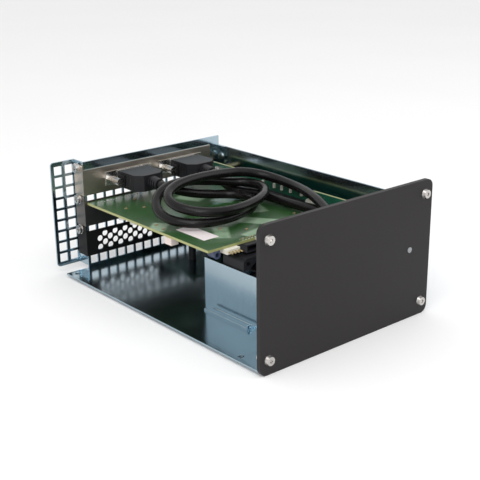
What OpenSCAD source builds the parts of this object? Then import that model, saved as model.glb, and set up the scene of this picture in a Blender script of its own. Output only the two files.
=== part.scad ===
/* [Chassis] */
// Overall width, set by the front plate
chassis_w = 143; // [142:0.5:156]
// Depth from the front plate's face to the rear flange's back
chassis_d = 219.2; // [216:0.2:240]
// Overall height, set by the front plate
chassis_h = 88.9; // [88:0.1:100]
// Distance from the front plate's edge to the tray's side
side_inset = 1.2; // [1:0.1:2]
// Height of the tray's right wall over its underside
wall_h = 72.5; // [60:0.5:78]
// Thickness of the tray's steel sheet
sheet_t = 1.2; // [0.8:0.1:1.4]
// Diameter of the mounting holes in the floor
base_hole_d = 3.4; // [2.5:0.1:5]
/* [Front plate] */
// Thickness of the front plate
plate_t = 3; // [2:0.1:4]
// Radius of the front plate's corners
plate_r = 5; // [3:0.1:6]
// Distance from the plate's sides to its screws
screw_inset_x = 6.5; // [6:0.1:8]
// Distance from the plate's top and bottom to its screws
screw_inset_z = 8.9; // [8.5:0.1:10]
// Height of the power light over the plate's lower edge
light_z = 46.2; // [35:0.1:48]
// Distance from the plate's right edge to the power light
light_inset = 19.3; // [16:0.1:28]
// Diameter of the light pipe
light_d = 3.6; // [2:0.1:4.5]
/* [Rear panel] */
// Thickness of the rear panel's sheet
rear_t = 1.2; // [0.8:0.1:1.6]
// Distance that the side flange steps back from the panel
rear_step = 12; // [11.8:0.1:14]
// Width of the perforated side flange
flange_w = 19.5; // [19:0.1:21]
// Top of the rear panel over the rest surface
rear_top = 81.4; // [80:0.1:84]
// Side of a square vent hole
vent_w = 6; // [4:0.1:6.2]
// Distance between square vent holes
vent_pitch = 7.8; // [7:0.1:10]
/* [Slots] */
// Width of a card bracket
bracket_w = 18.4; // [17:0.1:18.6]
// Height of the lowest bracket's lower edge
first_slot_z = 12.4; // [11.8:0.1:12.8]
// Distance from one slot to the next
slot_pitch = 22.4; // [22.2:0.1:22.8]
// Thickness of the bracket sheet
bracket_t = 1; // [0.8:0.05:1.2]
// Diameter of the slot cover's round vents
round_vent_d = 4.5; // [3:0.1:4.8]
/* [Card] */
// Length of the card from bracket to front edge
card_l = 135.6; // [120:0.1:140]
// Thickness of the circuit boards
board_t = 1.6; // [1:0.1:2]
/* [Fan] */
// Side of the square fan frame
fan_w = 40; // [38:0.5:40]
// Depth of the fan frame
fan_d = 20; // [18:0.5:24]
// Number of fan blades
fan_blades = 7; // [5:1:9]
/* [Cable] */
// Diameter of the signal cable
cable_d = 6.4; // [5:0.1:6.6]
// Width of a plug's moulded body
plug_w = 25; // [22:0.5:26]
// Thickness of a plug's moulded body
plug_h = 11.6; // [10:0.1:12]
// Length of a plug's moulded body
plug_l = 24; // [20:0.5:26]
// Distance between a plug's two jackscrews
jack_pitch = 33.3; // [32.8:0.1:36]
/* [Hidden] */
$fn = 40;
overrun = 0.5;
fit_gap = 0.3;
thread_gap = 0.02;

// Screws of the front plate, and the planes of the sheets
head_d = 6.7;
head_h = 2;
y_front = -(chassis_d - head_h) / 2;
y_rear = y_front + chassis_d;
y_plate = y_front + plate_t;
y_panel = y_rear - rear_step;
y_in = y_panel - rear_t;
y_brk = y_in - bracket_t;
half_w = chassis_w / 2;
tray_x = half_w - side_inset;
wall_x = tray_x - sheet_t;
floor_z = 1.5;
floor_top = floor_z + sheet_t;
panel_x = -half_w + flange_w;
fold_x = panel_x - rear_t;
slot_z = [first_slot_z, first_slot_z + slot_pitch, first_slot_z + 2 * slot_pitch];

// Base tray
rear_lip_h = 4;
rear_lip_inset = 2;
base_hole_x = 65;
base_hole_front = 21;
base_hole_back = 3.4;
bulk_inset = 2;
bulk_top_gap = 3;
bulk_top = chassis_h - bulk_top_gap;

// Front plate's screws, clinched nuts and power light
screw_d = 3.5;
screw_len = 8;
socket_d = 2.4;
socket_depth = 1.1;
head_dome = 0.7;
nut_d = 6.4;
nut_h = 3;
nut_spigot_d = 5;
light_proud = 0.4;
light_len = 8.6;
holder_w = 11;
holder_h = 9;
holder_l = 6;
led_board_t = 1.2;
led_board_w = 14;
led_board_h = 8;
led_d = 3;
led_l = 1.6;

// Rear panel
flange_bottom = 5;
flange_vent_w = 6.2;
flange_rows = 9;
flange_columns = 2;
flange_pitch_z = 8;
flange_pitch_x = 8.6;
flange_margin = 2.5;
flange_r = 2.4;
window_inset = 2.8;
window_start = 6;
window_right_gap = 11.1;
window_len = wall_x - window_right_gap - panel_x - window_start;
vent_inset = 4;
vent_first_gap = 0.3;
vent_right_margin = 6;
end_flange_l = 8;
end_flange_z = 9;
rivet_d = 3;
rivet_head_d = 5.4;
rivet_head_h = 0.8;
rivet_inset = 8;

// Bracket tabs and their screws
bracket_right_gap = 9.3;
bracket_len = wall_x - bracket_right_gap - fold_x;
tab_rise = 3.4;
tab_len = 10.4;
tab_screw_rise = 0.9;
tab_screw_y = 5.4;
tab_screw_d = 3.4;
tab_head_d = 6.2;
tab_head_h = 2;
tab_washer_d = 7;
tab_washer_h = 0.7;
tab_shank = 4.4;
cross_w = 0.9;
cross_len = 3.6;
cross_depth = 1;
round_cols = 12;
round_pitch_x = 4.35;
round_first = 9.2;
round_low = 4.6;
round_rise = 6.6;
round_stagger = 3.2;

// Upright board on the right wall
board_gap = 9.5;
bridge_x1 = wall_x - board_gap;
bridge_x = bridge_x1 - board_t;
bridge_bottom = 8;
bridge_top = 63.5;
bridge_len = 143;
bridge_y1 = y_brk - 2 * bracket_t;
bridge_y0 = bridge_y1 - bridge_len;
board_reach = 205;
board_y = y_brk - board_reach;
board_hole_inset = 4.5;
board_hole_back = 10;
standoff_d = 5.5;
spigot_d = 4;
screw3_d = 2.9;
screw3_head_d = 5.2;
screw3_head_h = 1.6;
screw3_len = 6;
chip_w = 17;
chip_t = 1.6;
sink_w = 34;
sink_l = 40;
sink_base = 2.4;
sink_h = 10;
fin_t = 1.2;
fin_count = 8;
chip_y = 114.6;
chip_z = 28;
inductor_w = 7;
inductor_h = 4.2;
inductor_gap = 5;
power_y = 150;
cap_d = 6.3;
cap_h = 5.8;
fan_socket_w = 10;
fan_socket_h = 5.8;
fan_socket_t = 7;
fan_socket_y = 4;
fan_socket_z = 30;
fan_pin_w = 0.64;
fan_pin_pitch = 2.54;
small_w = 1.6;
small_l = 3.2;
small_t = 1.3;
small_top = 2.6;
small_offsets = [0, 11, 20, 28, 40];
small_first_y = 41;
can_d = 6;
can_h = 4.4;
can_y = 31;
can_drop = 7.5;

// Slot that takes the card's contact edge
card_sink = 1;
card_top = slot_z[1] + bracket_w - card_sink;
card_bottom = card_top - board_t;
card_mid = card_top - board_t / 2;
slot_len = 56;
slot_w = 7.5;
slot_depth = 11.2;
slot_x = bridge_x - slot_depth;
slot_back = 49;
slot_y1 = y_brk - slot_back;
slot_y0 = slot_y1 - slot_len;
slot_wall = 2.6;
groove_depth = 8.9;
groove_gap = 0.2;
key_y = 14;
key_w = 1.8;

// Card
card_gap = 0.4;
card_x0 = panel_x;
card_slot_gap = 1.3;
card_x1 = slot_x - card_slot_gap;
card_h = card_x1 - card_x0;
card_y1 = y_brk - card_gap;
card_y0 = card_y1 - card_l;
edge_in = 8.3;
contact_t = 0.1;
contact_w = 1;
contact_l = 5;
contact_pitch = 2;
contact_count = 25;
contact_inset = 1.4;
card_ear_w = 10;
card_ear_l = 9;
card_ear_left = 14;
card_ear_right = 13.5;
card_ear_x = [card_ear_left, card_h - card_ear_right];
label_l = 29;
label_w = 12;
label_t = 0.1;
label_x = 10;
label_y = 16.6;
header_w = 10.4;
header_d = 7;
header_h = 3;
header_x = 12;
pin_w = 0.64;
pin_pitch = 2.54;
pin_proud = 4;
pin_rise = 0.9;
box_w = 15;
box_d = 9;
box_h = 5.2;
box_x = 27;
box_wall = 1;
side_w = 7;
side_d = 4.6;
side_h = 4.4;
side_y = 36;
cjack_d = 5;
cjack_l = 6;
cjack_bore = 3;
cjack_x = 4;
lead_count = 5;
card_chip_t = 2.2;
chip_sizes = [[24, 24], [14, 14], [16, 10], [16, 10]];
chip_place_shares = [[0.55, 0.55], [0.36, 0.3], [0.66, 0.2], [0.66, 0.34]];
small_cap_d = 6.3;
small_cap_h = 5.4;
cap_place_shares = [[0.1, 0.78], [0.1, 0.68], [0.2, 0.86], [0.3, 0.86], [0.86, 0.74]];

// Board with the ports
io_w = 46;
io_l = 36;
io_right_gap = 1;
io_edge_gap = 0.6;
io_z = 15;
io_x0 = bridge_x - io_right_gap - io_w;
io_y1 = y_brk - io_edge_gap;
io_y0 = io_y1 - io_l;
io_top = io_z + board_t;
io_hole_inset = 4;
port_w = 8.9;
port_h = 3.3;
port_l = 8;
port_wall = 0.4;
port_back = 1.6;
tongue_w = 6.6;
tongue_t = 0.7;
port_x = [11, 25];
jack_w = 9;
jack_h = 11;
jack_l = 13;
jack_x = 38;
jack_nose_d = 8;
jack_bore_d = 6.3;
jack_pin_d = 2;
jack_depth = 10;
link_l = 20;
link_w = 4;
link_h = 6;

// Fan and its bracket
fan_t = 1;
fan_left = 19;
fan_front = 40;
fan_lift = 1.3;
fan_side_x = panel_x + fan_left;
fan_side_y0 = y_front + fan_front;
fan_side_l = 57;
fan_side_h = 33.5;
fan_lip_w = 6;
fan_lip_start = 8.5;
fan_lip_l = 42.5;
fan_cross_y = 19;
fan_cross_margin = 1;
fan_gap = 0.5;
fan_x0 = fan_side_x + fan_t + fan_gap;
fan_z0 = floor_top + fan_lift;
fan_y0 = fan_side_y0 + fan_cross_y + fan_t;
fan_x = fan_x0 + fan_w / 2;
fan_z = fan_z0 + fan_w / 2;
fan_wall = 1;
fan_r = 3;
fan_bore = fan_w - 2 * fan_wall;
fan_hole_inset = 4;
fan_screw_d = 3;
fan_screw_len = 8;
fan_head_d = 5.6;
fan_head_h = 1.8;
hub_d = 20;
hub_wall = 1.2;
hub_l = 13;
hub_start = 1.4;
blade_t = 1;
blade_w = 13;
blade_angle = 40;
blade_tip_gap = 1;
base_d = 20;
base_t = 2.2;
base_back = 0.5;
strut_w = 2.6;
shaft_d = 2.4;
run_gap = 0.03;
bearing_d = 5;
bearing_l = 10;
end_play = 0.3;
stator_d = 15;
stator_l = 6.4;
stator_lift = 1.6;
stator_slots = 4;
stator_slot_w = 2;

// Connectors, plugs and jackscrews on the upper bracket
conn_x = [-16, 30.6];
conn_z = slot_z[2] + bracket_w / 2;
shell_w = 19;
shell_h = 8;
shell_len = 5.5;
shell_t = 0.6;
shell_rear = 0.8;
shell_flange_margin = 3;
shell_flange_w = jack_pitch + 2 * shell_flange_margin;
shell_flange_h = 10;
contact_d = 1.2;
post_d = 5;
post_l = 5.5;
thread_d = 2.8;
knob_d = 5.4;
knob_l = 9;
thread_l = 4.5;
slit_w = 0.8;
slit_depth = 1.2;
plug_ear_t = 4;
plug_ear_d = 7.4;
plug_taper = 5;
rib_count = 8;
rib_w = 0.9;
rib_pitch = 1.9;
rib_depth = 0.5;
relief_d = 9.6;
relief_tip_d = 8;
relief_len = 9;
relief_slots = 3;
relief_slot_w = 1;
y_plug1 = y_brk - shell_len;
y_plug0 = y_plug1 - plug_l;
y_relief = y_plug0 - relief_len;

// Route of the signal cable from the left plug through its loops to the right plug
cable_route = [
    [-16, 57.9, 66.4], [-16, 53.4, 66.4], [-14.8, 48, 65.8], [-11.4, 43.6, 64.6],
    [-6, 41, 62.8], [1, 39.8, 60.8], [9, 38.8, 59], [17, 37, 57.6], [24.4, 33.2, 57],
    [29.4, 26.4, 57], [30.4, 17.6, 57], [27.4, 9, 57], [20.6, 1.6, 57], [10.6, -4.4, 57],
    [-2, -8.2, 57], [-15, -9.6, 57], [-27, -7.4, 57], [-36.6, -1.2, 57.2], [-42.4, 7.6, 58],
    [-43.8, 17.6, 59.6], [-41.4, 27, 62.4], [-35.4, 34.4, 66], [-26.4, 38.8, 69.4],
    [-15, 40.2, 71], [-3, 39.8, 70.4], [9, 39.6, 68.4], [20, 38.8, 66.2], [29.6, 35.6, 64.5],
    [36.8, 29.8, 64.1], [39.8, 21.6, 64], [38.2, 12, 64], [31.4, 2.4, 64], [21, -5.6, 64],
    [8, -11.4, 64], [-6, -14.4, 64], [-19, -12.8, 64], [-30, -6.8, 64.6], [-37.4, 2.4, 66],
    [-39.6, 12.4, 68.2], [-36, 21.4, 70.8], [-27, 27.4, 73], [-15.4, 30.2, 74.2], [-3, 31.6, 74.4],
    [10, 32.6, 73.8], [23, 32.8, 72.8], [35.4, 30.4, 71.7], [46, 24.6, 69.4], [52, 14.6, 67.2],
    [53.2, 2.4, 66], [51.6, -10.6, 65.6], [47.6, -23.6, 65.6], [42.6, -36.4, 65],
    [37.2, -49.4, 63.2], [32, -61.4, 61], [28.4, -73, 59], [27, -84.6, 57.6],
    [29.6, -92.4, 57.2], [36.2, -97.2, 57], [44.6, -97.2, 57], [51.2, -92.4, 57],
    [53.8, -84.6, 57], [53.2, -73.6, 57], [50.6, -61.4, 57], [47.6, -48.6, 57],
    [44.8, -35.6, 57], [42.8, -22, 57], [42, -8.6, 57], [42, 4.4, 57], [41.6, 14, 57],
    [40, 22.6, 57], [37.2, 30, 57], [34.2, 36.4, 57.8], [32, 42, 59.8], [30.8, 47, 62.6],
    [30.6, 51.2, 65.2], [30.6, 54.4, 66.4], [30.6, 57.9, 66.4]];
route_end = 57.9;
route_span = 163.5;
cable_points = [for (p = cable_route) [p[0],
    y_relief - (route_end - p[1]) * (y_relief - y_plate) / route_span, p[2]]];
cable_sides = 8;

// Straight block between two values on each axis
module box(x0, x1, y0, y1, z0, z1) {
    translate([x0, y0, z0]) cube([x1 - x0, y1 - y0, z1 - z0]);
}

// Round rod along Y
module rod_y(x, y0, y1, z, d) {
    translate([x, y0, z]) rotate([-90, 0, 0]) cylinder(d = d, h = y1 - y0);
}

// Round rod along X
module rod_x(x0, x1, y, z, d) {
    translate([x0, y, z]) rotate([0, 90, 0]) cylinder(d = d, h = x1 - x0);
}

// Round rod along Z
module rod_z(x, y, z0, z1, d) {
    translate([x, y, z0]) cylinder(d = d, h = z1 - z0);
}

// Flat outline with round corners, from exact circles and squares
module round_rect(w, h, r) {
    translate([r, 0]) square([w - 2 * r, h]);
    translate([0, r]) square([w, h - 2 * r]);
    for (x = [r, w - r], y = [r, h - r]) translate([x, y]) circle(r = r);
}

// Centres of the plate screws
function plate_points() = [for (x = [-half_w + screw_inset_x, half_w - screw_inset_x],
    z = [screw_inset_z, chassis_h - screw_inset_z]) [x, z]];

// Centres of the floor's mounting holes
function floor_points() = [for (x = [-base_hole_x, base_hole_x],
    y = [y_plate + base_hole_front, y_in - base_hole_back]) [x, y]];

// Centres of the upright board's four standoffs
function bridge_points() = [for (y = [bridge_y0 + board_hole_inset, bridge_y1 - board_hole_back],
    z = [bridge_bottom + board_hole_inset, bridge_top - board_hole_inset]) [y, z]];

// Centres of the port board's two standoffs
function io_points() = [for (x = [io_x0 + io_hole_inset, io_x0 + io_w - io_hole_inset])
    [x, io_y0 + io_hole_inset]];

// Rivet heights on the right wall
function rivet_heights() = [end_flange_z + rivet_inset, floor_z + wall_h - rivet_inset];

light_x = half_w - light_inset;

module base_tray() color("LightSteelBlue") {
    y_wall = y_plate + sheet_t;
    difference() {
        union() {
            box(-tray_x, tray_x, y_plate, y_panel + sheet_t, floor_z, floor_top);
            box(wall_x, tray_x, y_plate, y_panel, floor_z, floor_z + wall_h);
            box(-half_w + bulk_inset, tray_x, y_plate, y_wall, floor_z, bulk_top);
            box(panel_x + rear_lip_inset, tray_x, y_panel, y_panel + sheet_t,
                floor_z, floor_z + rear_lip_h);
        }
        for (p = floor_points()) rod_z(p[0], p[1], floor_z - overrun, floor_top + overrun, base_hole_d);
        for (p = plate_points())
            rod_y(p[0], y_plate - overrun, y_wall + overrun, p[1], nut_spigot_d);
        rod_y(light_x, y_plate - overrun, y_wall + overrun, light_z, light_d + fit_gap);
        for (p = bridge_points())
            rod_x(wall_x - overrun, tray_x + overrun, p[0], p[1], spigot_d);
        for (p = io_points())
            rod_z(p[0], p[1], floor_z - overrun, floor_top + overrun, spigot_d);
        for (z = rivet_heights())
            rod_x(wall_x - overrun, tray_x + overrun, y_in - end_flange_l / 2, z, rivet_d);
    }
}

// One row of square vents through the rear panel
module vent_row(z) {
    first = panel_x + vent_inset;
    count = floor((wall_x - vent_right_margin - first) / vent_pitch);
    for (i = [0 : count - 1])
        box(first + i * vent_pitch - vent_w / 2, first + i * vent_pitch + vent_w / 2,
            y_in - overrun, y_panel + overrun, z - vent_w / 2, z + vent_w / 2);
}

module rear_panel() color("LightSteelBlue") {
    slot_gap = (slot_pitch - bracket_w) / 2;
    difference() {
        box(fold_x, wall_x, y_in, y_panel, floor_top, rear_top);
        vent_row(slot_z[0] - vent_first_gap - vent_w / 2);
        vent_row(slot_z[1] - slot_gap);
        vent_row(slot_z[2] - slot_gap);
        for (z = slot_z)
            box(panel_x + window_start, panel_x + window_start + window_len,
                y_in - overrun, y_panel + overrun, z + window_inset, z + bracket_w - window_inset);
    }
}

// Fold of the rear panel and its perforated flange
module side_flange() color("LightSteelBlue") {
    flange_h = rear_top - flange_bottom;
    low_row = flange_bottom + (flange_h - (flange_rows - 1) * flange_pitch_z) / 2;
    difference() {
        union() {
            box(fold_x, panel_x, y_panel, y_rear, flange_bottom, rear_top);
            translate([-half_w, y_rear, flange_bottom]) rotate([90, 0, 0])
                linear_extrude(rear_t) {
                    round_rect(flange_w, flange_h, flange_r);
                    translate([flange_w / 2, 0]) square([flange_w / 2, flange_h]);
                }
        }
        for (c = [0 : flange_columns - 1], r = [0 : flange_rows - 1])
            translate([-half_w + flange_margin + c * flange_pitch_x, y_rear - rear_t - overrun,
                low_row + r * flange_pitch_z - flange_vent_w / 2])
                cube([flange_vent_w, rear_t + 2 * overrun, flange_vent_w]);
        for (z = slot_z)
            rod_x(fold_x - overrun, panel_x + overrun, y_in + tab_screw_y,
                z + bracket_w + tab_screw_rise, tab_screw_d + thread_gap);
    }
}

// Flange of the rear panel that is riveted to the right wall
module end_flange() color("LightSteelBlue") difference() {
    box(wall_x - rear_t, wall_x, y_in - end_flange_l, y_in, end_flange_z, floor_z + wall_h);
    for (z = rivet_heights())
        rod_x(wall_x - rear_t - overrun, wall_x + overrun, y_in - end_flange_l / 2, z, rivet_d);
}

module panel_rivets() color("Silver")
    for (z = rivet_heights()) {
        y = y_in - end_flange_l / 2;
        rod_x(wall_x - rear_t, tray_x, y, z, rivet_d);
        rod_x(tray_x, tray_x + rivet_head_h, y, z, rivet_head_d);
        rod_x(wall_x - rear_t - rivet_head_h, wall_x - rear_t, y, z, rivet_head_d);
    }

module front_plate() color([0.22, 0.21, 0.22]) difference() {
    translate([-half_w, y_plate, 0]) rotate([90, 0, 0])
        linear_extrude(plate_t) round_rect(chassis_w, chassis_h, plate_r);
    for (p = plate_points())
        rod_y(p[0], y_front - overrun, y_plate + overrun, p[1], screw_d + fit_gap);
    rod_y(light_x, y_front - overrun, y_plate + overrun, light_z, light_d + fit_gap / 2);
}

module plate_screws() color("Silver") for (p = plate_points()) {
    difference() {
        union() {
            translate([p[0], y_front, p[1]]) rotate([90, 0, 0])
                cylinder(d1 = head_d, d2 = head_d - 2 * head_dome, h = head_h);
            rod_y(p[0], y_front - head_h / 2, y_front + screw_len, p[1], screw_d);
        }
        translate([p[0], y_front - head_h - overrun, p[1]]) rotate([-90, 0, 0])
            cylinder(d = socket_d, h = socket_depth + overrun, $fn = 6);
    }
}

module clinch_nuts() color("Gainsboro") for (p = plate_points())
    difference() {
        union() {
            rod_y(p[0], y_plate, y_plate + sheet_t, p[1], nut_spigot_d);
            rod_y(p[0], y_plate + sheet_t, y_plate + sheet_t + nut_h, p[1], nut_d);
        }
        rod_y(p[0], y_plate - overrun, y_plate + sheet_t + nut_h + overrun, p[1],
            screw_d + 2 * thread_gap);
    }

y_holder = y_plate + sheet_t;

module light_pipe() color("White") {
    rod_y(light_x, y_front - light_proud, y_front - light_proud + light_len, light_z, light_d);
}

module led_holder() color("DimGray") difference() {
    box(light_x - holder_w / 2, light_x + holder_w / 2, y_holder, y_holder + holder_l,
        light_z - holder_h / 2, light_z + holder_h / 2);
    rod_y(light_x, y_holder - overrun, y_holder + holder_l + overrun, light_z, light_d);
}

module led_board() color("ForestGreen")
    box(light_x - led_board_w / 2, light_x + led_board_w / 2, y_holder + holder_l,
        y_holder + holder_l + led_board_t, light_z - led_board_h / 2, light_z + led_board_h / 2);

module power_led() color("White")
    rod_y(light_x, y_holder + holder_l - led_l, y_holder + holder_l, light_z, led_d);

module fan_bracket() color("LightSteelBlue") difference() {
    union() {
        box(fan_side_x, fan_side_x + fan_t, fan_side_y0, fan_side_y0 + fan_side_l,
            floor_top, floor_top + fan_side_h);
        box(fan_side_x - fan_lip_w, fan_side_x + fan_t, fan_side_y0 + fan_lip_start,
            fan_side_y0 + fan_lip_start + fan_lip_l, floor_top, floor_top + fan_t);
        box(fan_side_x, fan_x0 + fan_w + fan_cross_margin, fan_y0 - fan_t, fan_y0,
            floor_top, floor_top + fan_side_h);
    }
    rod_y(fan_x, fan_y0 - fan_t - overrun, fan_y0 + overrun, fan_z, fan_bore);
    for (x = [-1, 1])
        rod_y(fan_x + x * (fan_w / 2 - fan_hole_inset), fan_y0 - fan_t - overrun, fan_y0 + overrun,
            fan_z - fan_w / 2 + fan_hole_inset, fan_screw_d + fit_gap);
}

module fan_frame() color([0.1, 0.1, 0.1]) {
    y1 = fan_y0 + fan_d;
    yb = y1 - base_back - base_t;
    difference() {
        union() {
            difference() {
                translate([fan_x0, y1, fan_z0]) rotate([90, 0, 0])
                    linear_extrude(fan_d) round_rect(fan_w, fan_w, fan_r);
                rod_y(fan_x, fan_y0 - overrun, y1 + overrun, fan_z, fan_bore);
            }
            rod_y(fan_x, yb, yb + base_t, fan_z, base_d);
            for (a = [0, 90]) translate([fan_x, yb, fan_z]) rotate([0, 45 + a, 0])
                translate([-fan_bore / 2 - fan_wall, base_back, -strut_w / 2])
                    cube([fan_bore + 2 * fan_wall, base_t - 2 * base_back, strut_w]);
        }
        rod_y(fan_x, yb - overrun, y1 + overrun, fan_z, bearing_d);
        for (x = [-1, 1], z = [-1, 1])
            rod_y(fan_x + x * (fan_w / 2 - fan_hole_inset), fan_y0 - overrun, y1 + overrun,
                fan_z + z * (fan_w / 2 - fan_hole_inset), fan_screw_d + 2 * thread_gap);
    }
}

module fan_rotor() color([0.13, 0.13, 0.13]) {
    y0 = fan_y0 + hub_start;
    blade_r = fan_bore / 2 - blade_tip_gap;
    tip = sqrt(pow(blade_r, 2) - pow(blade_w / 2, 2));
    difference() {
        union() {
            rod_y(fan_x, y0, y0 + hub_l, fan_z, hub_d);
            for (i = [0 : fan_blades - 1]) translate([fan_x, y0 + hub_l / 2, fan_z])
                rotate([0, i * 360 / fan_blades, 0]) rotate([blade_angle, 0, 0])
                    translate([0, -blade_w / 2, -blade_t / 2]) cube([tip, blade_w, blade_t]);
        }
        rod_y(fan_x, y0 + hub_wall, y0 + hub_l + blade_w, fan_z, hub_d - 2 * hub_wall);
        rod_y(fan_x, y0 - overrun, y0 + hub_l, fan_z, shaft_d);
    }
}

module fan_shaft() color("Silver") {
    y0 = fan_y0 + hub_start;
    rod_y(fan_x, y0, fan_y0 + fan_d - end_play, fan_z, shaft_d);
}

module fan_bearing() color("DarkGoldenrod") difference() {
    y1 = fan_y0 + fan_d;
    rod_y(fan_x, y1 - bearing_l, y1, fan_z, bearing_d);
    rod_y(fan_x, y1 - bearing_l - overrun, y1 + overrun, fan_z, shaft_d + 2 * run_gap);
}

module fan_stator() color("Peru") difference() {
    y1 = fan_y0 + fan_d - base_back - base_t;
    rod_y(fan_x, y1 - stator_l, y1, fan_z, stator_d);
    rod_y(fan_x, y1 - stator_l - overrun, y1 + overrun, fan_z, bearing_d);
    for (i = [0 : stator_slots - 1]) translate([fan_x, y1 - stator_l - overrun, fan_z])
        rotate([0, i * 360 / stator_slots, 0]) translate([bearing_d, 0, -stator_slot_w / 2])
            cube([stator_d, stator_l - stator_lift + overrun, stator_slot_w]);
}

module fan_screws() color("Silver") for (x = [-1, 1]) {
    px = fan_x + x * (fan_w / 2 - fan_hole_inset);
    pz = fan_z - fan_w / 2 + fan_hole_inset;
    difference() {
        union() {
            rod_y(px, fan_y0 - fan_t - fan_head_h, fan_y0 - fan_t, pz, fan_head_d);
            rod_y(px, fan_y0 - fan_t - fan_head_h / 2, fan_y0 + fan_screw_len, pz, fan_screw_d);
        }
        translate([px, fan_y0 - fan_t - fan_head_h - overrun, pz]) {
            translate([-cross_len / 2, 0, -cross_w / 2])
                cube([cross_len, cross_depth + overrun, cross_w]);
            translate([-cross_w / 2, 0, -cross_len / 2])
                cube([cross_w, cross_depth + overrun, cross_len]);
        }
    }
}

module bridge_board() color("SeaGreen") difference() {
    box(bridge_x, bridge_x1, bridge_y0, bridge_y1, bridge_bottom, bridge_top);
    for (p = bridge_points())
        rod_x(bridge_x - overrun, bridge_x1 + overrun, p[0], p[1], screw3_d + fit_gap);
}

module board_standoffs() color("Gold") for (p = bridge_points())
    difference() {
        union() {
            rod_x(bridge_x1, wall_x, p[0], p[1], standoff_d);
            rod_x(wall_x, tray_x, p[0], p[1], spigot_d);
        }
        rod_x(bridge_x1 - overrun, wall_x - sheet_t, p[0], p[1], screw3_d + 2 * thread_gap);
    }

module board_screws() color("Silver") for (p = bridge_points())
    difference() {
        union() {
            rod_x(bridge_x - screw3_head_h, bridge_x, p[0], p[1], screw3_head_d);
            rod_x(bridge_x - screw3_head_h / 2, bridge_x + screw3_len, p[0], p[1], screw3_d);
        }
        translate([bridge_x - screw3_head_h - overrun, p[0], p[1]]) {
            translate([0, -cross_len / 2, -cross_w / 2])
                cube([cross_depth + overrun, cross_len, cross_w]);
            translate([0, -cross_w / 2, -cross_len / 2])
                cube([cross_depth + overrun, cross_w, cross_len]);
        }
    }

y_chip = board_y + chip_y;

module controller_chip() color([0.15, 0.15, 0.16])
    box(bridge_x - chip_t, bridge_x, y_chip - chip_w / 2, y_chip + chip_w / 2,
        chip_z - chip_w / 2, chip_z + chip_w / 2);

module controller_heatsink() color("SlateGray") {
    x1 = bridge_x - chip_t;
    step = (sink_w - fin_t) / (fin_count - 1);
    box(x1 - sink_base, x1, y_chip - sink_l / 2, y_chip + sink_l / 2,
        chip_z - sink_w / 2, chip_z + sink_w / 2);
    for (i = [0 : fin_count - 1])
        box(x1 - sink_h, x1 - sink_base / 2, y_chip - sink_l / 2, y_chip + sink_l / 2,
            chip_z - sink_w / 2 + i * step, chip_z - sink_w / 2 + i * step + fin_t);
}

module pcie_slot() color([0.12, 0.12, 0.13]) difference() {
    box(slot_x, bridge_x, slot_y0, slot_y1, card_mid - slot_w / 2, card_mid + slot_w / 2);
    difference() {
        box(slot_x - overrun, slot_x + groove_depth, slot_y0 + slot_wall, slot_y1 - slot_wall,
            card_bottom - groove_gap, card_top + groove_gap);
        box(slot_x - 2 * overrun, slot_x + groove_depth, slot_y1 - slot_wall - key_y - key_w,
            slot_y1 - slot_wall - key_y, card_bottom - 2 * groove_gap, card_top + 2 * groove_gap);
    }
}

module fan_socket() color("Ivory") {
    y = bridge_y0 + fan_socket_y;
    x0 = bridge_x - fan_socket_t;
    difference() {
        box(x0, bridge_x, y, y + fan_socket_w, fan_socket_z, fan_socket_z + fan_socket_h);
        box(x0 - overrun, bridge_x - box_wall, y + box_wall, y + fan_socket_w - box_wall,
            fan_socket_z + box_wall, fan_socket_z + fan_socket_h + overrun);
    }
    for (i = [-1 : 1]) translate([x0 + box_wall, y + fan_socket_w / 2 + i * fan_pin_pitch - fan_pin_w / 2,
        fan_socket_z + fan_socket_h / 2])
        cube([fan_socket_t - box_wall, fan_pin_w, fan_pin_w]);
}

module power_inductors() color([0.3, 0.3, 0.32]) for (i = [0 : 1]) {
    y = board_y + power_y + i * (inductor_w + inductor_gap);
    box(bridge_x - inductor_h, bridge_x, y, y + inductor_w, chip_z, chip_z + inductor_w);
}

module board_capacitors() color("Gainsboro") for (i = [0 : 2]) {
    y = board_y + power_y + i * (cap_d + inductor_gap);
    rod_x(bridge_x - cap_h, bridge_x, y, chip_z - cap_d, cap_d);
}

module board_parts() color("Khaki") {
    for (o = small_offsets)
        box(bridge_x - small_t, bridge_x, bridge_y0 + small_first_y + o,
            bridge_y0 + small_first_y + o + small_w, bridge_top - small_top - small_l,
            bridge_top - small_top);
    rod_x(bridge_x - can_h, bridge_x, bridge_y0 + can_y, bridge_top - can_drop, can_d);
}

module io_board() color("SeaGreen") difference() {
    box(io_x0, io_x0 + io_w, io_y0, io_y1, io_z, io_top);
    for (p = io_points()) rod_z(p[0], p[1], io_z - overrun, io_top + overrun, screw3_d + fit_gap);
}

module io_standoffs() color("Gold") for (p = io_points())
    difference() {
        union() {
            rod_z(p[0], p[1], floor_top, io_z, standoff_d);
            rod_z(p[0], p[1], floor_z, floor_top, spigot_d);
        }
        rod_z(p[0], p[1], floor_top + sheet_t, io_z + overrun, screw3_d + 2 * thread_gap);
    }

module io_screws() color("Silver") for (p = io_points())
    difference() {
        union() {
            rod_z(p[0], p[1], io_top, io_top + screw3_head_h, screw3_head_d);
            rod_z(p[0], p[1], io_top - screw3_len, io_top + screw3_head_h / 2, screw3_d);
        }
        translate([p[0], p[1], io_top + screw3_head_h - cross_depth]) {
            translate([-cross_len / 2, -cross_w / 2, 0])
                cube([cross_len, cross_w, cross_depth + overrun]);
            translate([-cross_w / 2, -cross_len / 2, 0])
                cube([cross_w, cross_len, cross_depth + overrun]);
        }
    }

// Oval port section in the XZ plane, centred
module oval(w, h) {
    square([w - h, h], center = true);
    for (s = [-1, 1]) translate([s * (w - h) / 2, 0]) circle(d = h);
}

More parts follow.
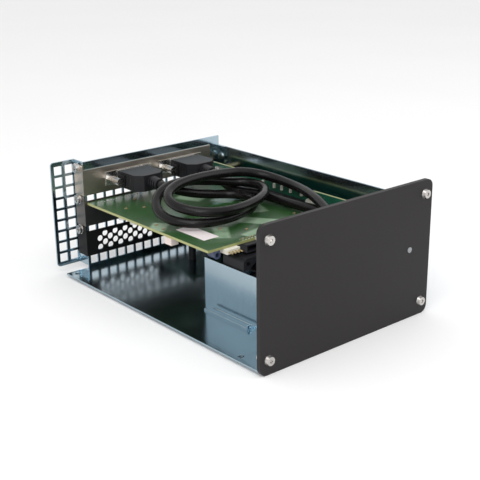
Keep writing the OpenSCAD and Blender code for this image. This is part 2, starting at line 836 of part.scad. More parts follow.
module port_sockets() color("Silver") for (x = port_x) {
    z = io_top + port_h / 2;
    translate([io_x0 + x, y_in, z]) rotate([90, 0, 0]) {
        difference() {
            linear_extrude(port_l) oval(port_w, port_h);
            translate([0, 0, -overrun]) linear_extrude(port_l - port_back + overrun)
                oval(port_w - 2 * port_wall, port_h - 2 * port_wall);
        }
        translate([-tongue_w / 2, -tongue_t / 2, port_wall])
            cube([tongue_w, tongue_t, port_l - port_wall - port_back / 2]);
    }
}

module power_socket() color([0.1, 0.1, 0.1]) {
    x = io_x0 + jack_x;
    z = io_top + jack_h / 2;
    y1 = y_brk - fit_gap;
    difference() {
        union() {
            box(x - jack_w / 2, x + jack_w / 2, y1 - jack_l, y1, io_top, io_top + jack_h);
            rod_y(x, y1 - overrun, y_in, z, jack_nose_d);
        }
        rod_y(x, y_in - jack_depth, y_in + overrun, z, jack_bore_d);
    }
    rod_y(x, y_in - jack_depth - overrun, y_in - bracket_t, z, jack_pin_d);
}

module board_link() color([0.12, 0.12, 0.13]) {
    y = io_y0 + io_l / 2;
    box(bridge_x - link_w, bridge_x, y - link_l / 2, y + link_l / 2, io_top, io_top + link_h);
}

module card_board() color([0.16, 0.42, 0.2]) {
    key0 = slot_y1 - slot_wall - key_y - key_w - groove_gap;
    key1 = slot_y1 - slot_wall - key_y + groove_gap;
    tip = slot_x + edge_in;
    difference() {
        union() {
            box(card_x0, card_x1, card_y0, card_y1, card_bottom, card_top);
            box(card_x1 - overrun, tip, slot_y0 + slot_wall + fit_gap, key0, card_bottom, card_top);
            box(card_x1 - overrun, tip, key1, slot_y1 - slot_wall - fit_gap, card_bottom, card_top);
        }
        for (x = card_ear_x)
            rod_z(card_x0 + x, y_brk - card_ear_l / 2, card_bottom - overrun, card_top + overrun,
                screw3_d + fit_gap);
    }
}

module card_contacts() color("Gold") {
    tip = slot_x + edge_in - contact_inset / 2;
    start = slot_y0 + slot_wall + fit_gap + contact_inset / 2;
    key0 = slot_y1 - slot_wall - key_y - key_w - 2 * contact_w;
    key1 = slot_y1 - slot_wall - key_y;
    for (i = [0 : contact_count - 1]) {
        y = start + i * contact_pitch;
        if (y < key0 || y > key1) if (y + contact_w < slot_y1 - slot_wall - fit_gap) {
            box(tip - contact_l, tip, y, y + contact_w, card_top, card_top + contact_t);
            box(tip - contact_l, tip, y, y + contact_w, card_bottom - contact_t, card_bottom);
        }
    }
}

// Flat strip against the rear panel with the tab that wraps the panel's left fold
module bracket_strip(z) {
    box(fold_x - bracket_t, fold_x + bracket_len, y_brk, y_in, z, z + bracket_w);
    box(fold_x - bracket_t, fold_x, y_brk, y_in + tab_len, z, z + bracket_w + tab_rise);
}

// Hole for the bracket screw through the tab
module tab_hole(z) {
    rod_x(fold_x - bracket_t - overrun, fold_x + overrun, y_in + tab_screw_y,
        z + bracket_w + tab_screw_rise, tab_screw_d + fit_gap);
}

module card_bracket() color([0.3, 0.28, 0.26]) difference() {
    z = slot_z[1];
    union() {
        bracket_strip(z);
        for (x = card_ear_x)
            box(card_x0 + x - card_ear_w / 2, card_x0 + x + card_ear_w / 2,
                y_brk - card_ear_l, y_in, card_bottom - bracket_t, card_bottom);
    }
    tab_hole(z);
    for (x = card_ear_x)
        rod_z(card_x0 + x, y_brk - card_ear_l / 2, card_bottom - bracket_t - overrun,
            card_bottom + overrun, screw3_d + 2 * thread_gap);
}

module card_screws() color("Silver") for (x = card_ear_x)
    difference() {
        z = card_bottom - bracket_t;
        y = y_brk - card_ear_l / 2;
        union() {
            rod_z(card_x0 + x, y, z - screw3_head_h, z, screw3_head_d);
            rod_z(card_x0 + x, y, z - screw3_head_h / 2, card_top, screw3_d);
        }
        translate([card_x0 + x, y, z - screw3_head_h - overrun]) {
            translate([-cross_len / 2, -cross_w / 2, 0])
                cube([cross_len, cross_w, cross_depth + overrun]);
            translate([-cross_w / 2, -cross_len / 2, 0])
                cube([cross_w, cross_len, cross_depth + overrun]);
        }
    }

module card_label() color("MistyRose")
    box(card_x0 + label_x, card_x0 + label_x + label_w, card_y0 + label_y,
        card_y0 + label_y + label_l, card_top, card_top + label_t);

module card_header() color("WhiteSmoke")
    box(card_x0 + header_x, card_x0 + header_x + header_w, card_y0 - header_d / 2,
        card_y0 + header_d / 2, card_bottom - header_h, card_bottom);

module header_pins() color("Goldenrod") {
    z = card_bottom - header_h / 2;
    for (i = [0 : 3])
        box(card_x0 + header_x + header_w / 2 + (i - 1.5) * pin_pitch - pin_w / 2,
            card_x0 + header_x + header_w / 2 + (i - 1.5) * pin_pitch + pin_w / 2,
            card_y0 - header_d / 2 - pin_proud, card_y0 - header_d / 2, z - pin_w / 2, z + pin_w / 2);
    for (i = [0 : lead_count - 1])
        box(card_x0 + box_x + i * pin_pitch + pin_w, card_x0 + box_x + i * pin_pitch + 2 * pin_w,
            card_y0 + pin_proud / 2, card_y0 + pin_proud / 2 + pin_w, card_top, card_top + pin_rise);
}

module card_box_header() color([0.25, 0.25, 0.27]) difference() {
    y0 = card_y0 - box_d / 2;
    box(card_x0 + box_x, card_x0 + box_x + box_w, y0, y0 + box_d, card_bottom - box_h, card_bottom);
    box(card_x0 + box_x + box_wall, card_x0 + box_x + box_w - box_wall, y0 - overrun,
        y0 + box_d - 2 * box_wall, card_bottom - box_h + box_wall, card_bottom - box_wall);
}

module card_side_connector() color("MistyRose")
    box(card_x0 - box_wall, card_x0 + side_d, card_y0 + side_y, card_y0 + side_y + side_w,
        card_bottom - side_h, card_bottom);

module card_jack() color("SlateGray") difference() {
    z = card_bottom - cjack_d / 2;
    x = card_x0 + cjack_x + cjack_d / 2;
    union() {
        rod_y(x, card_y0 - box_wall, card_y0 + cjack_l, z, cjack_d);
        box(x - cjack_d / 2, x + cjack_d / 2, card_y0, card_y0 + cjack_l, z, card_bottom);
    }
    rod_y(x, card_y0 - box_wall - overrun, card_y0 + cjack_l - box_wall, z, cjack_bore);
}

module card_chips() color([0.12, 0.12, 0.13]) for (i = [0 : len(chip_sizes) - 1]) {
    x = card_x0 + chip_place_shares[i][0] * card_h;
    y = card_y0 + chip_place_shares[i][1] * card_l;
    w = chip_sizes[i][0];
    l = chip_sizes[i][1];
    box(x - w / 2, x + w / 2, y - l / 2, y + l / 2, card_bottom - card_chip_t, card_bottom);
}

module card_capacitors() color("Gainsboro") for (s = cap_place_shares)
    rod_z(card_x0 + s[0] * card_h, card_y0 + s[1] * card_l, card_bottom - small_cap_h,
        card_bottom, small_cap_d);

module slot_cover() color([0.1, 0.1, 0.11]) difference() {
    z = slot_z[0];
    mid = z + bracket_w / 2;
    bracket_strip(z);
    tab_hole(z);
    for (c = [0 : round_cols - 1], r = [0 : 1])
        rod_y(panel_x + round_first + c * round_pitch_x, y_brk - overrun, y_in + overrun,
            mid - round_low + r * round_rise + (c % 2) * round_stagger, round_vent_d);
    for (x = port_x) translate([io_x0 + x, y_in + overrun, io_top + port_h / 2])
        rotate([90, 0, 0]) linear_extrude(bracket_t + 2 * overrun)
            oval(port_w + fit_gap, port_h + fit_gap);
    rod_y(io_x0 + jack_x, y_brk - overrun, y_in + overrun, io_top + jack_h / 2,
        jack_nose_d + fit_gap);
}

module daughter_bracket() color([0.6, 0.57, 0.5]) difference() {
    z = slot_z[2];
    bracket_strip(z);
    tab_hole(z);
    for (x = conn_x) {
        translate([x - (shell_w + fit_gap) / 2, y_brk - overrun, conn_z - (shell_h + fit_gap) / 2])
            cube([shell_w + fit_gap, bracket_t + 2 * overrun, shell_h + fit_gap]);
        for (s = [-1, 1])
            rod_y(x + s * jack_pitch / 2, y_brk - overrun, y_in + overrun, conn_z, thread_d + fit_gap);
    }
}

module bracket_screws() color("Silver") for (z = slot_z) {
    y = y_in + tab_screw_y;
    zs = z + bracket_w + tab_screw_rise;
    x = fold_x - bracket_t;
    difference() {
        union() {
            rod_x(x - tab_washer_h, x, y, zs, tab_washer_d);
            rod_x(x - tab_washer_h - tab_head_h, x, y, zs, tab_head_d);
            rod_x(x - tab_washer_h, x - tab_washer_h + tab_shank + tab_washer_h, y, zs, tab_screw_d);
        }
        translate([x - tab_washer_h - tab_head_h - overrun, y, zs]) {
            translate([0, -cross_len / 2, -cross_w / 2])
                cube([cross_depth + overrun, cross_len, cross_w]);
            translate([0, -cross_w / 2, -cross_len / 2])
                cube([cross_depth + overrun, cross_w, cross_len]);
        }
    }
}

module connector_shells() color("Silver") for (x = conn_x)
    difference() {
        union() {
            translate([x - shell_w / 2, y_plug1, conn_z - shell_h / 2])
                cube([shell_w, shell_len + bracket_t + shell_rear, shell_h]);
            translate([x - shell_flange_w / 2, y_brk - shell_t, conn_z - shell_flange_h / 2])
                cube([shell_flange_w, shell_t, shell_flange_h]);
        }
        for (s = [-1, 1])
            rod_y(x + s * jack_pitch / 2, y_brk - shell_t - overrun, y_brk + overrun, conn_z,
                thread_d + fit_gap);
        translate([x - shell_w / 2 + shell_t, y_plug1 - overrun, conn_z - shell_h / 2 + shell_t])
            cube([shell_w - 2 * shell_t, shell_len + bracket_t + shell_rear + 2 * overrun,
                shell_h - 2 * shell_t]);
    }

module connector_inserts() color([0.15, 0.15, 0.16]) for (x = conn_x)
    difference() {
        w = shell_w - 2 * shell_t;
        h = shell_h - 2 * shell_t;
        translate([x - w / 2, y_plug1, conn_z - h / 2])
            cube([w, shell_len + bracket_t, h]);
        for (i = [-2 : 2], r = [-1, 1])
            rod_y(x + i * w / 6, y_brk, y_in + overrun, conn_z + r * h / 5, contact_d);
    }

module hex_posts() color("Silver") for (x = conn_x, s = [-1, 1])
    difference() {
        rod_y(x + s * jack_pitch / 2, y_brk - post_l, y_brk - shell_t, conn_z, post_d, $fn = 6);
        rod_y(x + s * jack_pitch / 2, y_brk - post_l - overrun, y_brk + overrun, conn_z,
            thread_d + 2 * thread_gap);
    }

module jackscrews() color("Silver") for (x = conn_x, s = [-1, 1]) {
    px = x + s * jack_pitch / 2;
    y0 = y_plug1 - knob_l;
    difference() {
        union() {
            rod_y(px, y0, y_plug1, conn_z, knob_d);
            rod_y(px, y_plug1 - overrun, y_plug1 + thread_l, conn_z, thread_d);
        }
        translate([px - knob_d, y0 - overrun, conn_z - slit_w / 2])
            cube([2 * knob_d, slit_depth + overrun, slit_w]);
    }
}

// Moulded plug body: a wide block that narrows to the cable's strain relief
module plug_body(x) {
    neck = relief_d + plug_ear_t;
    ear_reach = jack_pitch / 2 - plug_w / 2 - knob_d / 2 - fit_gap;
    difference() {
        union() {
            translate([x, y_plug0, conn_z - plug_h / 2]) linear_extrude(plug_h)
                polygon([[-neck / 2, 0], [neck / 2, 0], [plug_w / 2, plug_taper],
                    [plug_w / 2, plug_l], [-plug_w / 2, plug_l], [-plug_w / 2, plug_taper]]);
            translate([x - plug_w / 2 - ear_reach, y_plug1 - knob_l, conn_z - plug_ear_d / 2])
                cube([plug_w + 2 * ear_reach, knob_l - plug_ear_t / 4, plug_ear_d]);
        }
        for (i = [0 : rib_count - 1], s = [-1, 1])
            translate([x + s * plug_w / 2 - rib_depth, y_plug0 + plug_taper + i * rib_pitch,
                conn_z - plug_h / 2 - overrun])
                cube([2 * rib_depth, rib_w, plug_h + 2 * overrun]);
    }
}

module plug_left() color([0.13, 0.13, 0.14]) plug_body(conn_x[0]);

module plug_right() color([0.13, 0.13, 0.14]) plug_body(conn_x[1]);

// Strain relief with cross slots, on the cable's end
module relief(x) {
    difference() {
        translate([x, y_relief, conn_z]) rotate([-90, 0, 0])
            cylinder(d1 = relief_tip_d, d2 = relief_d, h = relief_len);
        for (i = [0 : relief_slots - 1], s = [-1, 1])
            translate([x + s * relief_d / 2, y_relief + (i + 1) * relief_len / (relief_slots + 1),
                conn_z])
                cube([relief_d - cable_d, relief_slot_w, relief_d], center = true);
    }
}

module relief_left() color([0.13, 0.13, 0.14]) relief(conn_x[0]);

module relief_right() color([0.13, 0.13, 0.14]) relief(conn_x[1]);

// Sweep of the cable: a ring of points round each point of the route
function unit(v) = v / norm(v);
function tangent(p, i) = i == 0 ? unit(p[1] - p[0])
    : i == len(p) - 1 ? unit(p[i] - p[i - 1])
    : unit(unit(p[i + 1] - p[i]) + unit(p[i] - p[i - 1]));
function side_of(t) = unit(cross(t, [0, 0, 1]));
function ring(p, i) = let (t = tangent(p, i), s = side_of(t), u = cross(s, t))
    [for (k = [0 : cable_sides - 1]) p[i]
        + cable_d / 2 * (cos((k + 0.5) * 360 / cable_sides) * s
        + sin((k + 0.5) * 360 / cable_sides) * u)];
function tube_points(p) = [for (i = [0 : len(p) - 1]) each ring(p, i)];
function tube_faces(n) = let (m = cable_sides) concat(
    [[for (k = [0 : m - 1]) k]],
    [[for (k = [m - 1 : -1 : 0]) (n - 1) * m + k]],
    [for (i = [0 : n - 2], k = [0 : m - 1]) [i * m + k, (i + 1) * m + k, i * m + (k + 1) % m]],
    [for (i = [0 : n - 2], k = [0 : m - 1]) [i * m + (k + 1) % m, (i + 1) * m + k,
        (i + 1) * m + (k + 1) % m]]);

// Length of the cable and the least gap between turns that pass each other
function lengths(p, i = 0, s = 0) = i >= len(p) - 1 ? [s]
    : concat([s], lengths(p, i + 1, s + norm(p[i + 1] - p[i])));
cable_length = lengths(cable_points)[len(cable_points) - 1];
step_shares = [0, 0.25, 0.5, 0.75];
fine = [for (i = [0 : len(cable_points) - 2], f = step_shares)
    cable_points[i] + f * (cable_points[i + 1] - cable_points[i])];
cable_skip = 12;
cable_gap = min([for (i = [0 : len(fine) - 1])
    min(concat([chassis_w], [for (j = [i + cable_skip : 1 : len(fine) - 1])
        norm(fine[i] - fine[j])]))]) - cable_d;
echo(cable_length = cable_length, cable_gap = cable_gap);  // signal_cable

module signal_cable() color([0.08, 0.08, 0.09])
    polyhedron(points = tube_points(cable_points), faces = tube_faces(len(cable_points)),
        convexity = 10);

base_tray();
rear_panel();
side_flange();
end_flange();
panel_rivets();
front_plate();
plate_screws();
clinch_nuts();
light_pipe();
led_holder();
led_board();
power_led();
fan_bracket();
fan_frame();
fan_rotor();
fan_shaft();
fan_bearing();
fan_stator();
fan_screws();
bridge_board();
board_standoffs();
board_screws();
controller_chip();
controller_heatsink();
pcie_slot();
fan_socket();
power_inductors();
board_capacitors();
board_parts();
io_board();
io_standoffs();
io_screws();
port_sockets();
power_socket();
board_link();
card_board();
card_contacts();
card_bracket();
card_screws();
card_label();
card_header();
header_pins();
card_box_header();
card_side_connector();
card_jack();
card_chips();
card_capacitors();
slot_cover();
daughter_bracket();
bracket_screws();
connector_shells();
connector_inserts();
hex_posts();
jackscrews();
plug_left();
plug_right();
relief_left();
relief_right();
signal_cable();
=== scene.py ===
import math
import bpy
from bpy.props import FloatProperty, FloatVectorProperty, IntProperty, PointerProperty
from mathutils import Matrix, Vector


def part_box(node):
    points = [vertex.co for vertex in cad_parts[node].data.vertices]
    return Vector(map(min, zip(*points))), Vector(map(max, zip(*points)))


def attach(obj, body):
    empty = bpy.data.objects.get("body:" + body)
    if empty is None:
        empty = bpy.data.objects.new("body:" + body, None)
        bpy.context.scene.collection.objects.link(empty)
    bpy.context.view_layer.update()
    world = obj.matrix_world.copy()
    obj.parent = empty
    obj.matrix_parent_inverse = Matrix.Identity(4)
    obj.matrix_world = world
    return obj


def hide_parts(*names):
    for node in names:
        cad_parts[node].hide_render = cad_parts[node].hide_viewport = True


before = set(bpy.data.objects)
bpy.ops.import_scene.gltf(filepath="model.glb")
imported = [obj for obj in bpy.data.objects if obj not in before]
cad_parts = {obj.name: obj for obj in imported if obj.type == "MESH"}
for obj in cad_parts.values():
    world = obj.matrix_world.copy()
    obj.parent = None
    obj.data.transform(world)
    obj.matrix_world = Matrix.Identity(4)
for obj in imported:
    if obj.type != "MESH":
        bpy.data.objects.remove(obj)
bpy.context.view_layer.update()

bl_info = {
    "name": "Expansion chassis looks",
    "version": (1, 0, 0),
    "blender": (4, 5, 0),
    "location": "View3D > Sidebar > Chassis",
    "description": "Dresses the packed expansion chassis: metal, boards, connectors and the looped cable",
    "category": "Object",
}

MM = 0.001

# Camera, floor, world and lamps. Places and sizes are in metres where nothing else is said
SENSOR_WIDTH_MM = 36.0
CLIP_START = 0.01
FLOOR_SIZE = 8.0
FLOOR_DROP = 0.0002
WORLD_LIGHT = 0.92
WORLD_SEEN_BONUS = 0.08
LAMP_AIM = (0, 0, 0.04)
KEY_PLACE = (-0.7, -0.5, 1.1)
FILL_PLACE = (0.9, -0.7, 0.7)
FRONT_PLACE = (-0.62, -0.62, 0.42)
LARGE_LAMP = 0.9
SMALL_LAMP = 0.16

# Angles in degrees over which an edge is rounded or stays sharp, and the distance for merging
BEVEL_ANGLE = 35.0
SMOOTH_ANGLE = 35.0
TRACED_SMOOTH_ANGLE = 30.0
JOINT_SMOOTH_ANGLE = 60.0
FLAT_ANGLE = 1.0
MERGE_DISTANCE = 0.000002

# Stretch of the rolling marks in a sheet: small along the direction in which they run
MARKS_ALONG_X = (1.5, 30.0, 30.0)
MARKS_ALONG_Y = (30.0, 1.5, 30.0)
MARKS_ALONG_Z = (30.0, 30.0, 1.5)

# Boards: colours, and how deep and how softly the bare laminate shows at the edge
BOARD_GREEN = (0.012, 0.095, 0.055)
VIA_COLOUR = (0.20, 0.26, 0.16)
FIELD_COLOUR = (0.29, 0.42, 0.28)
LAMINATE_DARK = (0.26, 0.27, 0.09)
LAMINATE_PALE = (0.42, 0.42, 0.17)
LAMINATE_DEPTH = 0.00012
LAMINATE_SOFT = 0.0001
FIELD_SOFT = 0.0022

# Paler copper fields on the card: centre, half sizes in metres and turn in degrees
CARD_FIELDS = (
    (-0.0470, 0.0180, 0.0085, 0.0055, 40.0),
    (-0.0240, -0.0180, 0.0050, 0.0110, -35.0),
    (0.0100, -0.0160, 0.0060, 0.0130, 35.0),
    (0.0290, 0.0110, 0.0055, 0.0140, -20.0),
    (0.0250, 0.0380, 0.0070, 0.0080, 30.0),
    (-0.0060, -0.0310, 0.0110, 0.0035, 10.0),
    (0.0080, 0.0560, 0.0050, 0.0100, 25.0),
)

# Small parts on the card: places, then half sizes, height and rounding of body and metal ends
PART_PLACES = (
    (-0.0200, -0.0120), (-0.0080, -0.0240), (0.0120, -0.0330), (0.0260, -0.0290),
    (0.0380, -0.0200), (0.0400, -0.0330), (-0.0460, 0.0220), (-0.0475, 0.0120),
    (-0.0400, 0.0660), (-0.0290, 0.0600), (-0.0230, 0.0800), (0.0060, 0.0760),
)
PART_HALF_LENGTH = 0.0009
PART_HALF_WIDTH = 0.0006
PART_HEIGHT = 0.0006
PART_EDGE = 0.00008
PART_SUNK = 0.00002
END_HALF_LENGTH = 0.00025
END_HALF_WIDTH = 0.00063
END_HEIGHT = 0.00064
END_EDGE = 0.0001

# Solder joints on the card: pitch, where the rows start, and the joint's radii and heights
JOINT_PITCH = 0.00254
REAR_ROW = (-0.046, 0.0905)
HEADER_ROW_X = -0.0235
HEADER_ROWS_Y = (-0.0385, -0.0360)
HEADER_JOINTS = 5
SIDE_ROW = (0.020, -0.0350)
SIDE_JOINTS = 6
JOINT_SIDES = 14
JOINT_PROFILE = [(0.00052, -0.00002), (0.00047, 0.00012), (0.00030, 0.00032), (0.00012, 0.00046)]

# Fan bracket, from the lowest corner of its box: sheet, foot, bead in the bend, curl and rim
BRACKET_SHEET = 0.001
FOOT_WIDTH = 0.006
FOOT_START = 0.0085
FOOT_END = 0.051
BEAD_INSET = 0.0022
BEAD_SHORTER = 0.005
BEAD_TAPER = 0.0004
BEAD_END_SHARE = 0.6
BEAD_SIDES = 20
CURL_LENGTH = 0.0034
CURL_THICKNESS = 0.0012
CURL_HEIGHT = 0.0022
CURL_EDGE = 0.00045
RIM_INSET = 0.0006
RIM_WIDTH = 0.0009
RIM_HEIGHT = 0.0007
RIM_EDGE = 0.0003
TRIM_SUNK = 0.0001
TRIM_SEGMENTS = 3

# How finely the cable's curve is drawn, along it and around it
CABLE_STEPS = 8
CABLE_ROUNDNESS = 6

# Route of the signal cable, plug to plug, in millimetres
CABLE_ROUTE = [
    (-16, 57.9, 66.4), (-16, 53.4, 66.4), (-14.8, 48, 65.8), (-11.4, 43.6, 64.6), (-6, 41, 62.8),
    (1, 39.8, 60.8), (9, 38.8, 59), (17, 37, 57.6), (24.4, 33.2, 57), (29.4, 26.4, 57),
    (30.4, 17.6, 57), (27.4, 9, 57), (20.6, 1.6, 57), (10.6, -4.4, 57), (-2, -8.2, 57),
    (-15, -9.6, 57),
    (-27, -7.4, 57), (-36.6, -1.2, 57.2), (-42.4, 7.6, 58), (-43.8, 17.6, 59.6), (-41.4, 27, 62.4),
    (-35.4, 34.4, 66), (-26.4, 38.8, 69.4), (-15, 40.2, 71), (-3, 39.8, 70.4), (9, 39.6, 68.4),
    (20, 38.8, 66.2), (29.6, 35.6, 64.5), (36.8, 29.8, 64.1), (39.8, 21.6, 64), (38.2, 12, 64),
    (31.4, 2.4, 64), (21, -5.6, 64), (8, -11.4, 64), (-6, -14.4, 64), (-19, -12.8, 64),
    (-30, -6.8, 64.6), (-37.4, 2.4, 66), (-39.6, 12.4, 68.2), (-36, 21.4, 70.8), (-27, 27.4, 73),
    (-15.4, 30.2, 74.2), (-3, 31.6, 74.4), (10, 32.6, 73.8), (23, 32.8, 72.8), (35.4, 30.4, 71.7),
    (46, 24.6, 69.4), (52, 14.6, 67.2), (53.2, 2.4, 66), (51.6, -10.6, 65.6), (47.6, -23.6, 65.6),
    (42.6, -36.4, 65), (37.2, -49.4, 63.2), (32, -61.4, 61), (28.4, -73, 59), (27, -84.6, 57.6),
    (29.6, -92.4, 57.2), (36.2, -97.2, 57), (44.6, -97.2, 57), (51.2, -92.4, 57), (53.8, -84.6, 57),
    (53.2, -73.6, 57), (50.6, -61.4, 57), (47.6, -48.6, 57), (44.8, -35.6, 57), (42.8, -22, 57),
    (42, -8.6, 57), (42, 4.4, 57), (41.6, 14, 57), (40, 22.6, 57), (37.2, 30, 57), (34.2, 36.4, 57.8),
    (32, 42, 59.8), (30.8, 47, 62.6), (30.6, 51.2, 65.2), (30.6, 54.4, 66.4), (30.6, 57.9, 66.4),
]


# Sizes and colours

class CameraSizes(bpy.types.PropertyGroup):
    """Where the camera is, and how strong the lamps are"""
    place: FloatVectorProperty(name="Place", description="Camera's place", size=3,
                               subtype="TRANSLATION", unit="LENGTH",
                               default=(-0.39402, -0.47208, 0.24976))
    right: FloatVectorProperty(name="Right", description="Direction of the picture's right", size=3,
                               default=(0.759919, -0.649939, -0.010061))
    up: FloatVectorProperty(name="Up", description="Direction of the picture's top", size=3,
                            default=(0.219811, 0.242379, 0.944952))
    lens: FloatProperty(name="Lens", description="Focal length in millimetres", default=72.851)
    key: FloatProperty(name="Key lamp", description="Power of the key lamp in watts", default=5.5)
    front: FloatProperty(name="Front lamp", description="Power of the small front lamp in watts",
                         default=0.9)
    fill: FloatProperty(name="Fill lamp", description="Power of the fill lamp in watts", default=2.5)


class MetalSizes(bpy.types.PropertyGroup):
    """Rounded edges and colours of the sheet metal"""
    edge: FloatProperty(name="Edge round", description="Rounding of a sheet's cut edges",
                        unit="LENGTH", default=0.00014)
    plate_edge: FloatProperty(name="Plate edge", description="Rounding of the front plate's edges",
                              unit="LENGTH", default=0.00045)
    bead: FloatProperty(name="Bead", description="Radius of the bead in the fan bracket's bend",
                        unit="LENGTH", default=0.0006)
    zinc: FloatVectorProperty(name="Zinc", description="Colour of the bright zinc", size=3,
                              subtype="COLOR", default=(0.55, 0.70, 0.79))
    charcoal: FloatVectorProperty(name="Charcoal", description="Colour of the front plate", size=3,
                                  subtype="COLOR", default=(0.022, 0.020, 0.021))


class CableSizes(bpy.types.PropertyGroup):
    """Sizes and colour of the signal cable and its plugs"""
    diameter: FloatProperty(name="Cable diameter", description="Diameter of the signal cable",
                            unit="LENGTH", default=0.0064)
    plug_edge: FloatProperty(name="Plug edge", description="Rounding of the plugs' moulded edges",
                             unit="LENGTH", default=0.0004)
    relief_edge: FloatProperty(name="Relief edge", description="Rounding of the strain reliefs' edges",
                               unit="LENGTH", default=0.00014)
    jacket: FloatVectorProperty(name="Jacket", description="Colour of the cable's jacket", size=3,
                                subtype="COLOR", default=(0.006, 0.005, 0.005))


class BoardSizes(bpy.types.PropertyGroup):
    """Colour of the card and the length of its rear row of joints"""
    mask: FloatVectorProperty(name="Solder mask", description="Colour of the card's solder mask",
                              size=3, subtype="COLOR", default=(0.024, 0.080, 0.021))
    joints: IntProperty(name="Solder joints", description="Solder joints in the rear row",
                        default=14, min=2)


# Shader maths

class Value:
    """A shader socket that Python's operators work on."""

    def __init__(self, tree, socket):
        self.tree = tree
        self.socket = socket

    def math(self, operation, *others, clamp=False):
        node = self.tree.nodes.new("ShaderNodeMath")
        node.operation = operation
        node.use_clamp = clamp
        for slot, item in zip(node.inputs, (self,) + others):
            feed(self.tree, slot, item)
        return Value(self.tree, node.outputs[0])

    def __add__(self, other):
        return self.math("ADD", other)

    __radd__ = __add__

    def __mul__(self, other):
        return self.math("MULTIPLY", other)

    __rmul__ = __mul__

    def __sub__(self, other):
        return self.math("SUBTRACT", other)

    def __rsub__(self, other):
        return (self * -1.0) + other

    def __abs__(self):
        return self.math("ABSOLUTE")

    def most(self, other):
        return self.math("MAXIMUM", other)

    def clamp(self):
        return self.math("ADD", 0.0, clamp=True)

    def above(self, edge, soft):
        return ((self - edge) * (1.0 / soft) + 0.5).clamp()

    def below(self, edge, soft):
        return ((self - edge) * (-1.0 / soft) + 0.5).clamp()


def feed(tree, slot, item):
    """Links a value to a node's input, or sets the input to a number or a colour."""
    if isinstance(item, Value):
        tree.links.new(item.socket, slot)
    elif isinstance(item, (tuple, list)) and len(item) == 3 and slot.type == "RGBA":
        slot.default_value = (*item, 1.0)
    else:
        slot.default_value = item


class Finish:
    """One procedural material on a Principled shader."""

    def __init__(self, name, **constants):
        self.material = bpy.data.materials.new(name)
        self.material.use_nodes = True
        self.tree = self.material.node_tree
        self.shader = next(n for n in self.tree.nodes if n.type == "BSDF_PRINCIPLED")
        self.set(**constants)
        self.spot = self.node("ShaderNodeTexCoord").outputs["Object"]

    def set(self, **values):
        for key, item in values.items():
            feed(self.tree, self.shader.inputs[key.replace("_", " ")], item)

    def node(self, kind, settings=None, values=None):
        made = self.tree.nodes.new(kind)
        for key, item in (settings or {}).items():
            setattr(made, key, item)
        for key, item in (values or {}).items():
            feed(self.tree, made.inputs[key], item)
        return made

    def stretched(self, factors):
        made = self.node("ShaderNodeVectorMath", {"operation": "MULTIPLY"}, {1: factors})
        self.tree.links.new(self.spot, made.inputs[0])
        return Value(self.tree, made.outputs[0])

    def noise(self, scale, detail, factors=(1.0, 1.0, 1.0), rough=0.5):
        made = self.node("ShaderNodeTexNoise", None,
                         {"Vector": self.stretched(factors), "Scale": scale, "Detail": detail,
                          "Roughness": rough})
        return Value(self.tree, made.outputs["Fac"])

    def cells(self, scale):
        made = self.node("ShaderNodeTexVoronoi", {"feature": "F1"},
                         {"Vector": self.stretched((1.0, 1.0, 1.0)), "Scale": scale})
        return Value(self.tree, made.outputs["Distance"])

    def wave(self, scale, direction, distortion):
        made = self.node("ShaderNodeTexWave", {"bands_direction": direction},
                         {"Vector": self.stretched((1.0, 1.0, 1.0)), "Scale": scale,
                          "Distortion": distortion, "Detail": 1.0})
        return Value(self.tree, made.outputs["Fac"])

    def axes(self):
        made = self.node("ShaderNodeSeparateXYZ")
        self.tree.links.new(self.spot, made.inputs[0])
        return tuple(Value(self.tree, made.outputs[i]) for i in range(3))

    def mix(self, factor, first, second):
        made = self.node("ShaderNodeMix", {"data_type": "RGBA"}, {0: factor, 6: first, 7: second})
        return Value(self.tree, made.outputs[2])

    def bump(self, height, strength, distance):
        made = self.node("ShaderNodeBump", None,
                         {"Strength": strength, "Distance": distance, "Height": height})
        self.set(Normal=Value(self.tree, made.outputs["Normal"]))


def shade(colour, factor):
    """A lighter or darker colour."""
    return tuple(min(1.0, c * factor) for c in colour)


def plated(name, colour, rough, marks_along=MARKS_ALONG_Y):
    """Plated steel with faint rolling marks and cloudy tone."""
    made = Finish(name, Metallic=1.0)
    cloud = made.noise(26.0, 3.0)
    marks = made.noise(60.0, 4.0, marks_along, 0.6)
    tone = (cloud * 0.6 + marks * 0.4).above(0.5, 0.5)
    made.set(Base_Color=made.mix(tone, shade(colour, 0.86), shade(colour, 1.07)),
             Roughness=marks * 0.10 + (cloud * 0.06 + (rough - 0.08)))
    made.bump(marks, 0.05, 0.0001)
    return made.material


def moulded(name, colour, rough, grain=2400.0, depth=0.12, coat=0.0):
    """Moulded plastic or rubber with a fine grain and slightly worn tone."""
    made = Finish(name, Metallic=0.0, Specular_IOR_Level=0.22, Coat_Weight=coat,
                  Coat_Roughness=0.25)
    cloud = made.noise(60.0, 3.0)
    fine = made.noise(grain, 2.0)
    made.set(Base_Color=made.mix(cloud, shade(colour, 0.8), shade(colour, 1.2)),
             Roughness=cloud * 0.10 + (rough - 0.05))
    made.bump(fine, depth, 0.00004)
    return made.material


def powder_coat(name, colour, rough=0.46):
    """Satin powder coat: even colour, fine orange peel."""
    made = Finish(name, Metallic=0.0, Specular_IOR_Level=0.17)
    cloud = made.noise(18.0, 2.0)
    fine = made.noise(1500.0, 3.0)
    made.set(Base_Color=made.mix(cloud, shade(colour, 0.94), shade(colour, 1.06)),
             Roughness=fine * 0.10 + (rough - 0.05))
    made.bump(fine, 0.16, 0.00005)
    return made.material


